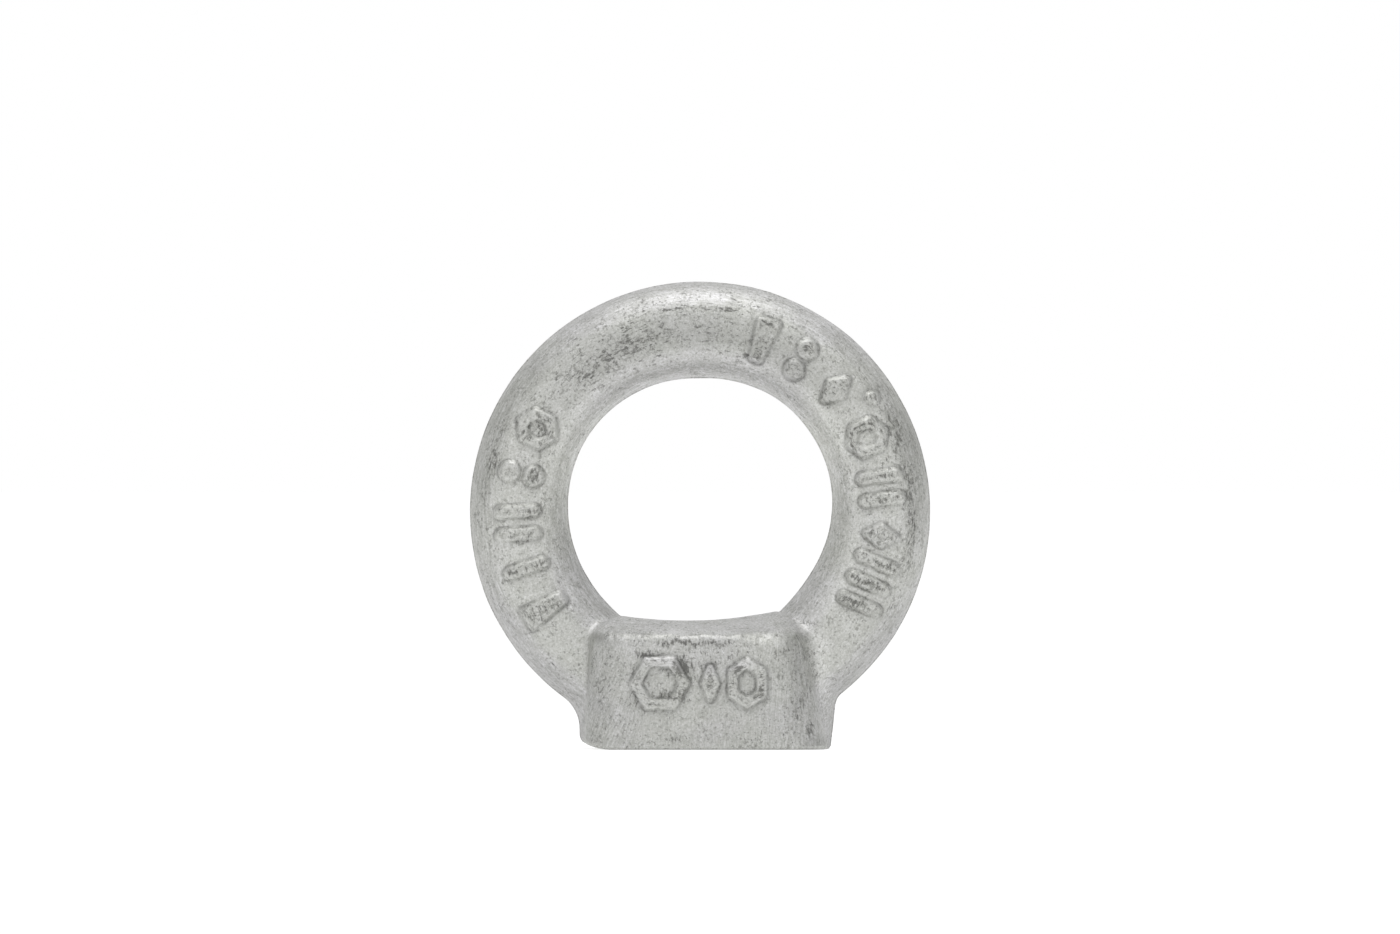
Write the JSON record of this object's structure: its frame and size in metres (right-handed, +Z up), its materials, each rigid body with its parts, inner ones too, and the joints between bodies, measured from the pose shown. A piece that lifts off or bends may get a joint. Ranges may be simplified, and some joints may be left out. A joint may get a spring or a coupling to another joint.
{
  "type": "lifting eye nut",
  "caption": "Drop-forged lifting eye nut: a domed ring standing on a drafted boss with a threaded through hole and a flat seat.",
  "frame": {"origin": "on the thread axis at the seat face, under the middle of the ring", "axes": "+Z up the thread axis from the seat through the eye, +Y through the eye away from the marked face, +X to the right of the marked face"},
  "size_m": [0.045, 0.0204, 0.0457],
  "materials": {
    "galvanised_steel": "matt hot-dip zinc over a forged skin"
  },
  "bodies": {
    "root": {"eye_nut": "galvanised_steel"}
  },
  "joints": []
}
